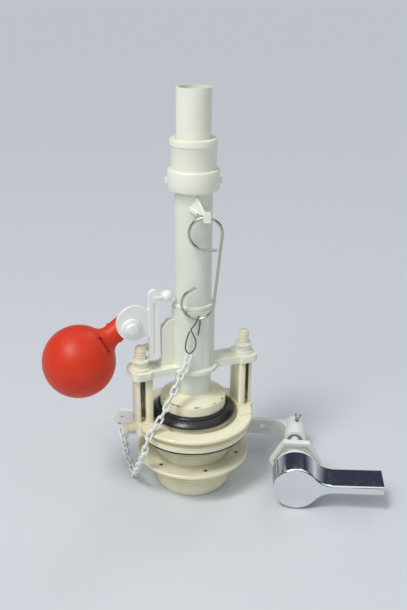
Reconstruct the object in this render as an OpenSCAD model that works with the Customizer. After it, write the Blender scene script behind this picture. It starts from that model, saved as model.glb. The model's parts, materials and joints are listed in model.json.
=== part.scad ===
// Toilet flush valve with float latch, lift chain and trip lever, laid out on a bench.
// Origin on the valve axis at the end of the outlet tail, +Z up, +X along the guide bridge.

/* [Outlet body] */
// Outside diameter of the outlet thread
tail_d = 63.5; // [60:0.5:66]
// Wall of the outlet tail
tail_wall = 4.2; // [3:0.1:5]
// Length of the tail that enters the bowl, below the lock nut
tail_l = 21; // [16:0.5:22]
// Length of the outlet bore below the throat
outlet_l = 50; // [40:0.5:56]
// Height of the threaded shank below the lower flange
shank_h = 53; // [48:0.5:60]
// Diameter of the lower flange that clamps the tank washer
lower_flange_d = 95; // [90:1:100]
// Thickness of the lower flange
lower_flange_t = 5; // [4:0.5:6]
// Diameter of the neck between the two flanges
neck_d = 85; // [80:1:90]
// Height of the neck between the two flanges
neck_h = 5.3; // [4:0.1:6]
// Diameter of the seat ring
ring_d = 102; // [98:1:108]
// Thickness of the seat ring
ring_t = 3.2; // [3:0.1:4.5]
// Height of the raised pads on the seat ring
pad_rise = 1.2; // [0.5:0.1:2]
// Width of the raised pads across the bridge
pad_w = 48; // [40:1:56]
// Diameter of the well around the seal
well_d = 76; // [75:0.5:80]

/* [Columns] */
// Distance between the two bridge studs
stud_span = 91.8; // [90:0.2:95]
// Column size along the bridge
column_l = 12.6; // [12:0.2:14]
// Column size across the bridge
column_w = 15; // [13:0.5:17]
// Width of the column's broad inner flange, across the bridge
column_inner_w = 20; // [18:0.5:22]
// Depth of the slots in the column sides
column_slot_depth = 5.5; // [3:0.5:6]
// Width of the slots in the column sides
column_slot_w = 3.9; // [3:0.1:4.4]
// Diameter of the bridge studs
stud_d = 8.4; // [7:0.1:9]
// Height of the studs above the bridge
stud_rise = 19.9; // [16:0.1:24]
// Diameter of the side pegs
peg_d = 8; // [6:0.5:9]
// Length of the side pegs
peg_l = 9.5; // [6:0.5:14]

/* [Bridge] */
// Height of the bridge's underside above the seat ring
window_h = 43; // [40:0.1:50]
// Thickness of the bridge bar
bar_t = 5.9; // [5:0.1:8]
// Width of the bridge bar
bar_w = 20; // [18:0.5:22]
// Outside diameter of the guide sleeve
sleeve_d = 35; // [34:0.1:36]
// Length of the guide sleeve, from the bridge's underside up
sleeve_l = 55.7; // [50:0.1:64]
// Outside diameter of the sleeve's foot lip
lip_d = 42.4; // [40:0.2:46]
// Height of the sleeve's foot lip
lip_h = 4.5; // [3:0.5:6]

/* [Overflow pipe] */
// Outside diameter of the overflow pipe
pipe_d = 29.6; // [29.2:0.1:29.9]
// Bore of the overflow pipe
pipe_bore = 27.4; // [27.3:0.1:27.8]
// Height of the overflow pipe's top
pipe_top = 265; // [255:1:275]
// Outside diameter of the catch ring on the pipe
catch_d = 33.6; // [32.6:0.1:34]
// Height of the catch ring
catch_h = 3.2; // [2.5:0.1:4]
// Diameter of the valve disc
disc_d = 55.4; // [52:0.2:58]
// Height of the valve disc's rim
disc_rim_h = 9; // [7:0.5:11]
// Rise of the valve disc's top towards the pipe
disc_crown = 4.5; // [3:0.5:6]
// Diameter of the rubber seal
seal_d = 71.2; // [70:0.2:73.4]
// Thickness of the rubber seal
seal_t = 3; // [2:0.2:3.6]
// Lift of the pipe, from the seat to the bridge
lift = 19; // [15:0.5:24]

/* [Telescopic top] */
// Outside diameter of the refill tube
top_tube_d = 26.7; // [26.5:0.1:26.8]
// Bore of the refill tube
top_tube_bore = 23.2; // [21:0.2:24]
// Height of the refill tube's top above the outlet
top_tube_top = 336.6; // [326:0.2:350]
// Length of the refill tube
top_tube_l = 101; // [90:1:110]
// Outside diameter of the socket on the pipe
socket_d = 40; // [38:0.2:42]
// Height of the socket
socket_h = 16.3; // [15:0.1:18]
// Outside diameter of the collar above the socket
collar_d = 34.6; // [33.4:0.1:34.6]
// Height of the collar above the socket
collar_h = 23; // [19:0.5:26]
// Outside diameter of the collar's rim
collar_rim_d = 36.6; // [35:0.1:38]
// Thickness of the collar's grip ring
grip_t = 2.4; // [2:0.1:3]

/* [Float latch] */
// Distance of the latch pivot from the valve axis
pivot_x = 23.5; // [23:0.1:24.5]
// Height of the latch pivot above the bridge
pivot_rise = 30.8; // [28:0.1:34]
// Diameter of the latch pin
latch_pin_d = 3; // [2.4:0.1:3.4]
// Distance of the latch bar's inner edge from the valve axis
latch_bar_x = 29.8; // [29.6:0.1:31]
// Width of the latch bar's face
latch_bar_w = 8.8; // [8:0.2:9.2]
// Thickness of the latch bar
latch_bar_t = 4.4; // [3.6:0.1:5]
// Height of the latch bar
latch_bar_h = 58.8; // [56:0.2:60]
// Diameter of the latch finger
finger_d = 9.4; // [8:0.1:9.6]
// Diameter of the clamp plate
plate_d = 29.4; // [27:0.2:33]
// Thickness of the clamp plate
plate_t = 3; // [2:0.2:4]
// Diameter of the clamp cap
cap_d = 16; // [13:0.5:18]
// Diameter of the float ball
float_d = 58.6; // [52:0.2:60]
// Distance from the clamp cap to the float's centre
float_reach = 49.1; // [47:0.1:54]
// Slope of the float's neck below level
float_slope = 34.2; // [28:0.2:38]
// Diameter of the float's neck
float_neck_d = 17.6; // [14:0.2:20]

/* [Hook and chain] */
// Diameter of the hook's steel wire
hook_wire_d = 2.2; // [1.6:0.1:2.4]
// Radius of the hook's two loops
hook_r = 12.6; // [12:0.1:14]
// Distance between the hook's two loops
hook_span = 57.6; // [48:0.2:62]
// Diameter of the thin clip wire
clip_wire_d = 1.1; // [0.8:0.1:1.4]
// Diameter over the chain's links
chain_d = 4.4; // [3:0.1:4.6]

/* [Trip lever] */
// Height of the lever's spindle above the bench
spindle_z = 20; // [20:0.1:24]
// Diameter of the handle's boss
boss_d = 38.4; // [36:0.2:39]
// Diameter of the boss at its back, by the wall
boss_back_d = 40; // [39:0.2:40]
// Depth of the handle
handle_depth = 25.5; // [20:0.5:30]
// Reach of the handle's grip from the spindle
grip_reach = 72; // [60:0.5:80]
// Upward tilt of the handle's grip
grip_tilt = 2.4; // [0:0.2:5]
// Height of the handle's grip
grip_h = 7.6; // [6:0.2:10]
// Diameter of the spindle
spindle_d = 7.6; // [6:0.1:8.4]
// Diameter of the wall bushing's flange
bushing_flange_d = 37.6; // [34:0.2:38.2]
// Diameter of the wall bushing's threaded stem
bushing_stem_d = 26; // [22:0.2:28]
// Size across the flats of the wall nut
wall_nut_af = 39.4; // [37:0.2:39.6]
// Thickness of the wall nut
wall_nut_t = 6; // [5:0.5:9]
// Length of the lever arm from the spindle
arm_reach = 173; // [150:1:190]
// Height of the lever arm at the hub
arm_h = 14.2; // [12:0.2:16]
// Height of the lever arm at its tip
arm_tip_h = 17.8; // [15:0.2:20]
// Thickness of the lever arm
arm_t = 4.6; // [3.6:0.2:6]

/* [Hidden] */
$fn = 96;

// Clearances
slide_gap = 0.3;
seat_gap = 0.2;
pin_gap = 0.05;
thread_gap = 0.15;
eps = 0.01;

// Heights of the outlet body, from the tail's end up
lower_flange_z = shank_h + 0.5;
neck_z = lower_flange_z + lower_flange_t;
ring_z = neck_z + neck_h;
ring_top = ring_z + ring_t;
well_depth = 4;
bar_z = ring_top + window_h;
bar_top = bar_z + bar_t;
tail_bore = tail_d - 2 * tail_wall;
throat_r = tail_bore / 2 - 0.8;
seat_lip_r = tail_bore / 2 + 4;
foot_h = neck_h + ring_t;
foot_out = column_l / 2;
foot_in = column_l / 2 + 2.4;
foot_w = column_inner_w + 1.6;
foot_step = 0.8;
stud_x = stud_span / 2;
column_top = bar_z;
washer_t = 1.6;

// Disc and seal, at rest on the seat
seal_z = ring_top + 5.8;
disc_z = seal_z + seal_t;
disc_top = disc_z + disc_rim_h + disc_crown;
seal_drop = 4.3;
pipe_r = pipe_d / 2;
pipe_foot = ring_top - 8;
sleeve_top = bar_z + sleeve_l;
catch_z = sleeve_top + seat_gap;

// Telescopic joint
socket_z = pipe_top - 4.3;
socket_top = socket_z + socket_h;
collar_top = socket_top + collar_h;

// Latch
pivot_z = bar_top + pivot_rise;
latch_bar_z = bar_top + 9.2;
latch_bar_y = -4.2;
latch_bar_top = latch_bar_z + latch_bar_h;
bar_end_r = latch_bar_w / 2;
block_out = pivot_x + 5.1;
block_w = 6.4;
slot_w = 2.6;
tongue_w = slot_w - 2 * slide_gap;
tongue_h = 7.6;
stop_gap = 0.1;
finger_y = latch_bar_y + latch_bar_t / 2;
finger_z = latch_bar_top - 6.8;
finger_gap = 1.6;
finger_x = catch_d / 2 + finger_d / 2 + finger_gap;
plate_x = latch_bar_x + latch_bar_w + plate_d / 2 - 2.5;
plate_z = pivot_z + 11.1;
plate_y = latch_bar_y + 0.8;
cap_x = plate_x + 2.7;
cap_z = plate_z - 3.5;
float_x = cap_x + float_reach * cos(float_slope);
float_z = cap_z - float_reach * sin(float_slope);
float_gap = 0.5;
float_y = plate_y + plate_t + float_gap + float_neck_d / 2;
stem_l = plate_t + float_gap + float_neck_d + float_gap;
stem_d = 6;
flare_r = 8;

// Hook, its plane stands in front of the sleeve and faces along hook_turn
hook_turn = -22;
hook_y = -20.5;
hook_x = 9.6;
hook_z = pipe_top - 33.6;
hook_lean = 5.8;
hook_wire_r = hook_wire_d / 2;
eye_z = hook_z + hook_r;

// Lever set, its spindle lies at lever_turn to the bridge
lever_x = 62.3;
lever_y = -75.9;
lever_turn = -27.4;
bushing_gap = 0.5;
bushing_flange_t = 3.4;
washer_y = handle_depth + bushing_gap + bushing_flange_t;
wall_nut_y = washer_y + 9.6;
stem_end = wall_nut_y + wall_nut_t + 4;
hub_y = 74;
hub_l = 28;
hub_r = 9.8;
arm_y = hub_y + hub_l - arm_t;
split_pin_y = hub_y + hub_l - 8;
split_hole_r = 2.1;
split_lean = 9;

// The chain's route: from the clip, over the seat ring's edge, down to the bench
// and along it to the tip of the lever arm
CHAIN = [
    [-10.6, -19.5, 130.6], [-14.4, -20.3, 123.2], [-20.2, -22, 112.5], [-26, -23.4, 101.4],
    [-31, -24, 92], [-35, -24.2, 84.2], [-39.4, -24.3, 77], [-42.6, -24.4, 72.6],
    [-45.4, -24.6, 69.8], [-48, -25, 65.8], [-50, -25.2, 60], [-51.5, -24.8, 53.7],
    [-52.6, -22.4, 46.8], [-53, -18, 40], [-53.2, -12.2, 32.4], [-53.2, -5.5, 24.2],
    [-52.6, 2.2, 15.6], [-51.4, 10, 8.4], [-49.8, 18.4, 3.8], [-48.6, 27, 2.4],
    [-48.2, 36, 2.3], [-47.6, 46, 2.3], [-46, 56, 2.3], [-44.4, 64.5, 2.3],
    [-43, 73, 2.8], [-42.3, 79.6, 5], [-41.9, 84.8, 10]
];

// A ring with a square section, between two radii
module band(r_out, r_in, z, h) {
    translate([0, 0, z])
        difference() {
            cylinder(r = r_out, h = h);
            translate([0, 0, -eps]) cylinder(r = r_in, h = h + 2 * eps);
        }
}

// Both ends of the bridge
module both_ends() {
    for (side = [0, 180]) rotate([0, 0, side]) children();
}

// A flat form in X and Z, thickened along Y and centred on Y = 0
module plate_xz(w) {
    rotate([90, 0, 0])
        translate([0, 0, -w / 2])
            linear_extrude(w) children();
}

// A smooth curve through a list of points, with a number of steps between each two
function curve_at(p, i, t) =
    let (n = len(p) - 1,
         a = p[max(i - 1, 0)],
         b = p[i],
         c = p[min(i + 1, n)],
         d = p[min(i + 2, n)])
    0.5 * (2 * b + (c - a) * t + (2 * a - 5 * b + 4 * c - d) * t * t
        + (3 * b - a - 3 * c + d) * t * t * t);
function curve(p, steps) = concat(
    [for (i = [0:len(p) - 2], k = [0:steps - 1]) curve_at(p, i, k / steps)],
    [p[len(p) - 1]]);
function unit(v) = v / norm(v);
function tangent(p, i) = unit(p[min(i + 1, len(p) - 1)] - p[max(i - 1, 0)]);
function framed(p) = [
    for (i = 0, n = unit(cross(tangent(p, 0), [0.3, 0.2, 1]));
         i < len(p);
         i = i + 1, n = i < len(p) ? unit(n - (n * tangent(p, i)) * tangent(p, i)) : n) n];

// A round tube of radius r swept along the points p, with flat ends
module tube_along(p, r, sides = 8) {
    n = framed(p);
    rings = [for (i = [0:len(p) - 1], k = [0:sides - 1])
        let (t = tangent(p, i), b = cross(t, n[i]), a = 360 * k / sides)
        p[i] + r * (cos(a) * n[i] + sin(a) * b)];
    walls = [for (i = [0:len(p) - 2], k = [0:sides - 1])
        let (j = (k + 1) % sides)
        [i * sides + k, (i + 1) * sides + k, (i + 1) * sides + j, i * sides + j]];
    near_cap = [[for (k = [0:sides - 1]) k]];
    far_cap = [[for (k = [sides - 1:-1:0]) (len(p) - 1) * sides + k]];
    polyhedron(rings, concat(walls, near_cap, far_cap));
}

// A flat form in X and Z, t thick from the plane Y = y backwards
module slab(y, t) {
    translate([0, y + t, 0]) rotate([90, 0, 0]) linear_extrude(t) children();
}

// A rectangle with its four corners cut off
module cut_rectangle(l, w, c) {
    polygon([
        [-l / 2 + c, -w / 2], [l / 2 - c, -w / 2], [l / 2, -w / 2 + c], [l / 2, w / 2 - c],
        [l / 2 - c, w / 2], [-l / 2 + c, w / 2], [-l / 2, w / 2 - c], [-l / 2, -w / 2 + c]
    ]);
}

// Height of the seal's underside on the radius r of its skirt
function seal_under(r) = seal_z - (r - disc_d / 2) * seal_drop / (seal_d / 2 - disc_d / 2);

// Outlet tail and threaded shank
module outlet_shank() {
    tail_r = tail_d / 2;
    bore_r = tail_bore / 2;
    tail_chamfer = 2.3;
    groove = 0.5;
    color("ivory") rotate_extrude() polygon([
        [bore_r, 0], [tail_r - tail_chamfer, 0], [tail_r, tail_chamfer + 0.9], [tail_r, tail_l],
        [tail_r - groove, tail_l + groove], [tail_r - groove, tail_l + 3 * groove],
        [tail_r, tail_l + 4 * groove], [tail_r, lower_flange_z], [throat_r, lower_flange_z],
        [throat_r, outlet_l + 1], [bore_r, outlet_l]
    ]);
}

module lower_flange() {
    low_r = lower_flange_d / 2;
    edge = 0.8;
    color("ivory") rotate_extrude() polygon([
        [throat_r, lower_flange_z], [low_r - edge, lower_flange_z], [low_r, lower_flange_z + edge],
        [low_r, neck_z - edge], [low_r - edge, neck_z], [throat_r, neck_z]
    ]);
}

// Seat ring with its neck, the well round the seal, the seat's lip and the two raised pads
module seat_ring() {
    ring_r = ring_d / 2;
    well_r = well_d / 2;
    lip_top = seal_under(seat_lip_r) - seat_gap;
    lip_w = 1.4;
    edge = 0.8;
    color("ivory") difference() {
        union() {
            rotate_extrude() polygon([
                [throat_r, neck_z], [neck_d / 2, neck_z], [neck_d / 2, ring_z], [ring_r - edge, ring_z],
                [ring_r, ring_z + edge], [ring_r, ring_top - edge], [ring_r - edge, ring_top],
                [well_r + edge, ring_top], [well_r, ring_top - edge], [well_r, ring_top - well_depth],
                [seat_lip_r + lip_w, ring_top - well_depth], [seat_lip_r, lip_top],
                [seat_lip_r - lip_w, lip_top], [throat_r, lip_top - 3]
            ]);
            intersection() {
                band(ring_r - edge, well_r + edge, ring_top - eps, pad_rise + eps);
                translate([-ring_r, -pad_w / 2, 0]) cube([ring_d, pad_w, ring_top + pad_rise + 1]);
            }
        }
        both_ends() foot();
    }
}

// Foot of a post, let into the seat ring's edge
module foot() {
    difference() {
        translate([stud_x + (foot_out - foot_in) / 2, 0, neck_z])
            linear_extrude(foot_h + pad_rise + foot_step)
                cut_rectangle(foot_out + foot_in, foot_w, 2);
        cylinder(d = well_d, h = column_top);
    }
}

// Section of a post: a broad inner flange, a web and an outer flange
module post_section() {
    inner_l = column_l - column_slot_w - 2.8;
    web_w = column_w - 2 * column_slot_depth;
    recess_w = 12;
    recess = 1.2;
    outer_x = column_l / 2 - 1;
    translate([outer_x - column_l, 0]) difference() {
        translate([inner_l / 2, 0]) cut_rectangle(inner_l, column_inner_w, 0.8);
        translate([-1, -recess_w / 2]) square([recess + 1, recess_w]);
    }
    translate([outer_x - column_l / 2, -web_w / 2]) square([column_l / 2 - 1, web_w]);
    translate([outer_x - column_l + inner_l - 1, -web_w / 2]) square([column_l - inner_l, web_w]);
    translate([outer_x - 1.4, 0]) cut_rectangle(2.8, column_w, 0.6);
}

// Post beside the seat, slotted down both faces, with the bridge's stud on its top
module post() {
    foot_top = ring_top + pad_rise + foot_step;
    head_t = 1.5;
    stud_tip = 1;
    translate([stud_x, 0, foot_top - eps]) linear_extrude(column_top - foot_top + eps) post_section();
    translate([stud_x - 1, 0, column_top - head_t])
        linear_extrude(head_t) cut_rectangle(column_l, column_w, 0.8);
    foot();
    translate([stud_x, 0, column_top - eps])
        cylinder(d = stud_d, h = bar_t + stud_rise - stud_tip + eps);
    translate([stud_x, 0, bar_top + stud_rise - stud_tip])
        cylinder(d1 = stud_d, d2 = stud_d - 2 * stud_tip, h = stud_tip);
}

module left_post() {
    color("ivory") mirror([1, 0, 0]) post();
}

module right_post() {
    color("ivory") post();
}

// Short ribbed peg with a flange at its end
module side_peg() {
    flange = 1.8;
    ribs = 3;
    pitch = (peg_l - flange) / ribs;
    peg_drop = 4.2;
    // The peg stands on the post's foot, or on the ring's edge where the ring reaches further out
    peg_root = max(stud_x + foot_out, ring_d / 2);
    color("ivory") translate([-peg_root, 0, ring_top - peg_drop]) rotate([0, -90, 0]) {
        cylinder(d = peg_d - 1, h = peg_l);
        for (i = [0:ribs - 1])
            translate([0, 0, i * pitch]) cylinder(d = peg_d, h = pitch * 0.62);
        translate([0, 0, peg_l - flange]) cylinder(d = peg_d + 1.4, h = flange);
    }
}

module tank_washer() {
    color("black")
        band(lower_flange_d / 2 - 1, tail_d / 2 + thread_gap, lower_flange_z - washer_t, washer_t);
}

// Wide flanged nut below the tank's floor, with a ring of small holes
module lock_nut() {
    nut_z = 24;
    hub_top = 31;
    hub_r = tail_d / 2 + 4.8;
    rim_r = lower_flange_d / 2 + 0.7;
    rim_t = 3;
    holes = 6;
    hole_d = 2.8;
    hole_out = 2.1;
    color("ivory") difference() {
        rotate_extrude() polygon([
            [tail_d / 2 + thread_gap, nut_z], [hub_r, nut_z], [hub_r, hub_top - 3.4],
            [hub_r + 2.6, hub_top - 2], [rim_r - 0.6, hub_top + 1.2 - rim_t], [rim_r, hub_top + 1.7 - rim_t],
            [rim_r, hub_top + 0.7], [rim_r - 0.6, hub_top + 1.2], [hub_r + 5.6, hub_top + 0.8],
            [hub_r + 2.6, hub_top - 0.4], [tail_d / 2 + thread_gap, hub_top - 0.4]
        ]);
        for (i = [0:holes - 1])
            rotate([0, 0, 25 + i * 360 / holes])
                translate([hub_r + hole_out, 0, nut_z]) cylinder(d = hole_d, h = hub_top - nut_z + 2, $fn = 32);
    }
}

// Guide bridge: recessed bar with a pad at each end, the latch's fork on its left
module bridge() {
    pad_in = stud_x - 8.5;
    pad_out = stud_x + 9.3;
    pad_w_out = bar_w + 5;
    rim = 2.4;
    recess = 2.2;
    fork_top = pivot_z + 9.1;
    fork_slant = 7;
    color("ivory") difference() {
        union() {
            translate([-pad_in - 1, -bar_w / 2, bar_z]) cube([2 * pad_in + 2, bar_w, bar_t]);
            both_ends() translate([(pad_in + pad_out) / 2, 0, bar_z])
                linear_extrude(bar_t) cut_rectangle(pad_out - pad_in, pad_w_out, 3.6);
            mirror([1, 0, 0]) plate_xz(block_w) polygon([
                [0, bar_top - 2], [block_out, bar_top - 2], [block_out, fork_top - fork_slant],
                [block_out - fork_slant, fork_top], [0, fork_top]
            ]);
        }
        translate([0, 0, bar_z - 1]) cylinder(d = sleeve_d, h = sleeve_l + 2);
        cylinder(d = lip_d, h = bar_z + lip_h);
        both_ends() {
            translate([stud_x, 0, bar_z - 1]) cylinder(d = stud_d + 0.6, h = bar_t + 2);
            translate([block_out + 1, -bar_w / 2 + rim, bar_top - recess])
                cube([pad_in - block_out - 1, bar_w - 2 * rim, recess + 1]);
            translate([lip_d / 2 + 1, -bar_w / 2 + rim, bar_z - 1])
                cube([pad_in - lip_d / 2 - 3, bar_w - 2 * rim, recess + 1]);
        }
        translate([-block_out - 1, -slot_w / 2, pivot_z - tongue_h / 2 - stop_gap])
            cube([block_out + 1 - pivot_x + 5, slot_w, fork_top]);
        translate([-pivot_x, block_w / 2 + 1, pivot_z])
            rotate([90, 0, 0]) cylinder(d = latch_pin_d, h = block_w + 2, $fn = 32);
    }
}

// Sleeve that guides the overflow pipe, with a lip at its foot
module guide_sleeve() {
    bore_r = pipe_r + slide_gap;
    color("ivory") rotate_extrude() polygon([
        [bore_r, bar_z], [lip_d / 2 - 1.2, bar_z], [lip_d / 2, bar_z + 1.2],
        [lip_d / 2, bar_z + lip_h - 1], [lip_d / 2 - 1, bar_z + lip_h],
        [sleeve_d / 2, bar_z + lip_h], [sleeve_d / 2, sleeve_top], [bore_r, sleeve_top]
    ]);
}

// Flanged nuts on the studs, shaped like spools with a hexagonal waist
module stud_nuts() {
    base_d = 17.2;
    top_d = 15;
    flange_t = 1.7;
    waist_af = 11.6;
    nut_h = 8.4;
    color("ivory") both_ends() translate([stud_x, 0, bar_top]) difference() {
        union() {
            cylinder(d = base_d, h = flange_t);
            cylinder(d = waist_af / cos(30), h = nut_h, $fn = 6);
            translate([0, 0, nut_h - flange_t]) cylinder(d = top_d, h = flange_t);
        }
        translate([0, 0, -1]) cylinder(d = stud_d + 2 * thread_gap, h = nut_h + 2);
    }
}

module latch_pin() {
    color("gainsboro") translate([-pivot_x, block_w / 2, pivot_z])
        rotate([90, 0, 0]) cylinder(d = latch_pin_d, h = block_w, $fn = 32);
}

module overflow_pipe() {
    color("honeydew") band(pipe_r, pipe_bore / 2, pipe_foot, pipe_top - pipe_foot);
}

module catch_ring() {
    edge = 0.5;
    color("honeydew") rotate_extrude() polygon([
        [pipe_r, catch_z], [catch_d / 2 - edge, catch_z], [catch_d / 2, catch_z + edge],
        [catch_d / 2, catch_z + catch_h - edge], [catch_d / 2 - edge, catch_z + catch_h],
        [pipe_r, catch_z + catch_h]
    ]);
}

module valve_disc() {
    r = disc_d / 2;
    rim_top = disc_z + disc_rim_h;
    color("lemonchiffon") rotate_extrude() polygon([
        [pipe_r, disc_z], [r - 0.6, disc_z], [r, disc_z + 0.6], [r, rim_top - 1.2],
        [r - 0.4, rim_top - 0.4], [r - 1.3, rim_top], [pipe_r + 3, disc_top - 1.4],
        [pipe_r + 1.2, disc_top - 0.8], [pipe_r + 0.4, disc_top], [pipe_r, disc_top]
    ]);
}

// Rubber washer with a drooping skirt that closes on the seat
module rubber_seal() {
    r = seal_d / 2;
    skirt_t = 2.8;
    color("black") rotate_extrude() polygon([
        [pipe_r, seal_z], [disc_d / 2, seal_z], [r - 0.8, seal_under(r - 0.8)],
        [r, seal_under(r) + 0.6], [r, seal_under(r) + skirt_t - 0.6],
        [r - 0.8, seal_under(r - 0.8) + skirt_t], [disc_d / 2 + 0.8, seal_z + seal_t],
        [pipe_r, seal_z + seal_t]
    ]);
}

module seal_clamp() {
    r = tail_bore / 2 - 2.4;
    clamp_h = 5;
    edge = 1.5;
    color("ivory") rotate_extrude() polygon([
        [pipe_r, seal_z - clamp_h], [r - edge, seal_z - clamp_h], [r, seal_z - clamp_h + edge],
        [r, seal_z], [pipe_r, seal_z]
    ]);
}

// Socket on the pipe's top, with a nub at each side
module pipe_socket() {
    r = socket_d / 2;
    spigot_r = collar_d / 2 - 0.3;
    nub_turn = 158;
    nub = [2.9, 3.2, 3.8];
    nub_z = socket_top - 11;
    color("ivory") {
        rotate_extrude() polygon([
            [pipe_r, socket_z], [r - 1.6, socket_z], [r - 0.5, socket_z + 0.5], [r, socket_z + 1.6],
            [r, socket_top - 1.4], [r - 0.5, socket_top - 0.4], [r - 1.4, socket_top],
            [spigot_r + 0.1, socket_top], [spigot_r + 0.1, pipe_top], [pipe_r, pipe_top]
        ]);
        for (side = [0, 180]) rotate([0, 0, nub_turn + side])
            translate([r - 1, -nub[1] / 2, nub_z]) cube(nub);
    }
}

// Collar that guides the refill tube, with a groove for the grip ring
module collar() {
    r = collar_d / 2;
    rim_r = collar_rim_d / 2;
    bore_r = top_tube_d / 2 + slide_gap;
    step_z = collar_top - 7.6;
    groove_z = socket_top + 9;
    color("ivory") rotate_extrude() difference() {
        polygon([
            [bore_r, pipe_top + 0.2], [r - 0.3, pipe_top + 0.2], [r - 0.3, socket_top], [r, socket_top],
            [r, step_z], [r + 0.5, step_z + 0.1], [r + 0.5, collar_top - 4.2],
            [rim_r - 0.5, collar_top - 3.8], [rim_r, collar_top - 3.2], [rim_r, collar_top - 1],
            [rim_r - 0.8, collar_top], [bore_r + 0.8, collar_top], [bore_r, collar_top - 0.8]
        ]);
        translate([top_tube_d / 2 + pin_gap + grip_t / 2, groove_z]) circle(d = grip_t, $fn = 32);
    }
}

module grip_ring() {
    color("black") translate([0, 0, socket_top + 9])
        rotate_extrude() translate([top_tube_d / 2 + pin_gap + grip_t / 2, 0])
            circle(d = grip_t - 0.1, $fn = 32);
}

module refill_tube() {
    color("honeydew")
        band(top_tube_d / 2, top_tube_bore / 2, top_tube_top - top_tube_l, top_tube_l);
}

// Lug on the pipe: a saddle, two struts and an eye that the hook hangs in
module hanger_lug() {
    eye = [5.4, 4.8, 7.4];
    root_y = -pipe_r - 0.2;
    root_d = 2.4;
    root_top = [2.6, root_y, eye_z + 12.4];
    root_low = [-2.2, root_y, eye_z + 5.5];
    eye_top = [hook_x - 1, hook_y, eye_z + 2];
    eye_low = [hook_x - 1, hook_y, eye_z - 0.6];
    web = [1, 1.2, 1];
    color("ivory") rotate([0, 0, hook_turn]) difference() {
        union() {
            hull() {
                translate(root_top) cube([2, root_d, 3.2], center = true);
                translate(eye_top) cube([2, 3.6, 2.4], center = true);
            }
            hull() {
                translate(root_low) cube([2, root_d, 2.6], center = true);
                translate(eye_low) cube([2, 3.6, 2.4], center = true);
            }
            hull() {
                translate(root_top) cube(web, center = true);
                translate(root_low) cube(web, center = true);
                translate(eye_top) cube(web, center = true);
                translate(eye_low) cube(web, center = true);
            }
            translate([hook_x + 1, hook_y, eye_z + 0.2]) cube(eye, center = true);
        }
        translate([hook_x - 4, hook_y, eye_z])
            rotate([0, 90, 0]) cylinder(r = hook_wire_r + 0.6, h = 10, $fn = 32);
        translate([hook_x - 7, hook_y, eye_z])
            rotate([0, 90, 0]) cylinder(r1 = 3.4, r2 = hook_wire_r + 0.6, h = 5.3, $fn = 32);
        cylinder(r = pipe_r, h = pipe_top);
    }
}

// Bent steel wire: a loop through the lug's eye, a straight leg and an open hook below
module wire_hook() {
    down = [-sin(hook_lean), 0, -cos(hook_lean)];
    side = [cos(hook_lean), 0, -sin(hook_lean)];
    top = [hook_x, hook_y, hook_z];
    foot = top + hook_span * down;
    loop_end = 268;
    loop_tip = 9.4;
    hook_end = 123;
    hook_tip = 6.4;
    color("silver") rotate([0, 0, hook_turn]) {
        translate(top) rotate([90, 0, 0]) {
            rotate([0, 0, -hook_lean]) rotate_extrude(angle = loop_end + hook_lean)
                translate([hook_r, 0]) circle(r = hook_wire_r, $fn = 32);
            rotate([0, 0, loop_end]) translate([hook_r, 0, 0]) {
                rotate([-90, 0, 0]) cylinder(r = hook_wire_r, h = loop_tip, $fn = 32);
                sphere(r = hook_wire_r + 2 * eps, $fn = 32);
            }
        }
        translate(foot) rotate([90, 0, 0]) rotate([0, 0, hook_end]) {
            rotate_extrude(angle = 360 - hook_lean - hook_end)
                translate([hook_r, 0]) circle(r = hook_wire_r, $fn = 32);
            translate([hook_r, 0, 0]) {
                rotate([90, 0, 0]) cylinder(r = hook_wire_r, h = hook_tip, $fn = 32);
                sphere(r = hook_wire_r + 2 * eps, $fn = 32);
            }
        }
        translate(foot + hook_r * side) rotate([0, hook_lean, 0]) {
            cylinder(r = hook_wire_r, h = hook_span, $fn = 32);
            for (z = [0, hook_span]) translate([0, 0, z]) sphere(r = hook_wire_r + 2 * eps, $fn = 32);
        }
    }
}

// Thin wire clip, hooked over the wire hook and looped round the chain's first link
module wire_clip() {
    h = [hook_x - hook_span * sin(hook_lean), hook_y, hook_z - hook_span * cos(hook_lean) - hook_r];
    far = 1.9;
    path = [
        h + [0.4, far, -15], h + [1.4, far, -9], h + [2, far, -3.4], h + [1.6, far, 0.2],
        h + [0.8, 0, 1.9], h + [-0.2, -far, 0], h + [-2.4, -far, -4.4], h + [-5, -far, -8.6],
        h + [-3, -far, -13.6], h + [-1.2, -far, -19], h + [-2.4, -far, -25.6], h + [-6.6, -far, -29.4],
        h + [-9.6, -far + 0.3, -25.4], h + [-8.8, -far + 0.6, -18.4], h + [-6.3, -far + 1.2, -10.4]
    ];
    color("dimgray") rotate([0, 0, hook_turn])
        tube_along(curve(path, 4), clip_wire_d / 2);
}

module lift_chain() {
    color("whitesmoke") tube_along(curve(CHAIN, 2), chain_d / 2);
}

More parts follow.
